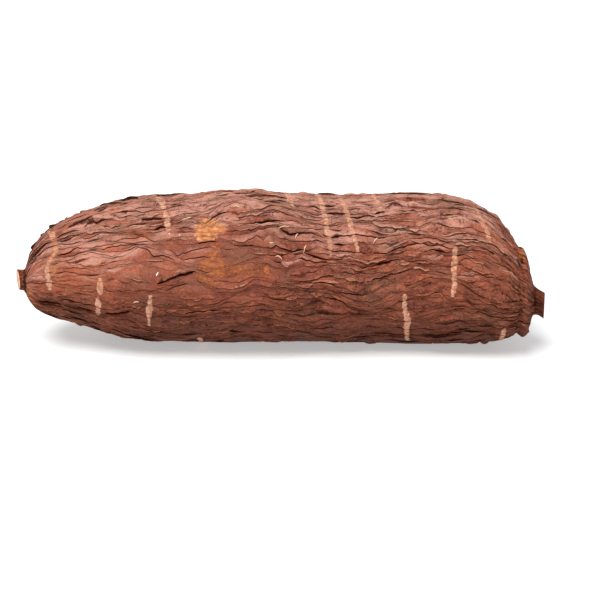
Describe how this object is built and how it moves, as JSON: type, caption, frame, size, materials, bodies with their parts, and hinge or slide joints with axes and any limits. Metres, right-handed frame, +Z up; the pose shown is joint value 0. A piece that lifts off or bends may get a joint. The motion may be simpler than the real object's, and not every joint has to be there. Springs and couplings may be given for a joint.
{
  "type": "cassava root",
  "caption": "Whole cassava root lying on its side: a long, thick, slightly bent tuber in scaly brown bark, with a short sawn stub at the thin end and another in the collar at the neck end.",
  "frame": {"origin": "on the surface the root lies on, under the middle of its box", "axes": "+X along the root from the thin end to the neck end, +Z up, -Y towards the side the two ends bend to"},
  "size_m": [0.2624, 0.0808, 0.0766],
  "materials": {
    "cassava_bark": "dull red-brown flaking bark with pale corky scars across it; bare tan wood only on the two sawn ends"
  },
  "bodies": {
    "root": {"cassava_root": "cassava_bark"}
  },
  "joints": []
}
